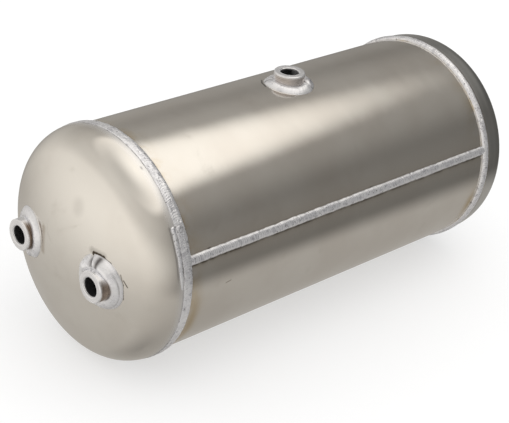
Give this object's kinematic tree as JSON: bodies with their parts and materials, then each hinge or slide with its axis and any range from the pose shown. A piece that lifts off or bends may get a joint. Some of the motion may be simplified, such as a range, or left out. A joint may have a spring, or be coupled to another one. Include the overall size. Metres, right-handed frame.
{
  "type": "air receiver tank",
  "caption": "Cylindrical welded aluminium air receiver with dished heads, threaded port bosses on one head and on the shell, and raised weld beads.",
  "frame": {"origin": "on the tank axis at the middle of the shell, where the strap bands centre it", "axes": "+X along the tank axis from the ported head to the plain head, +Z out of the shell port, -Y towards the side with the longitudinal seam"},
  "size_m": [0.5969, 0.253, 0.2629],
  "materials": {
    "sheet": "mill finish rolled sheet",
    "head": "spun and lightly brushed",
    "boss": "turned",
    "weld": "as welded"
  },
  "bodies": {
    "root": {"shell": "sheet", "front_head": "head", "rear_head": "head", "left_port_boss": "boss", "right_port_boss": "boss", "top_port_boss": "boss", "seam_weld": "weld", "seam_root_bead": "weld", "front_girth_weld": "weld", "rear_girth_weld": "weld", "front_girth_second_pass": "weld", "left_port_weld": "weld", "right_port_weld": "weld", "top_port_weld": "weld"}
  },
  "joints": []
}
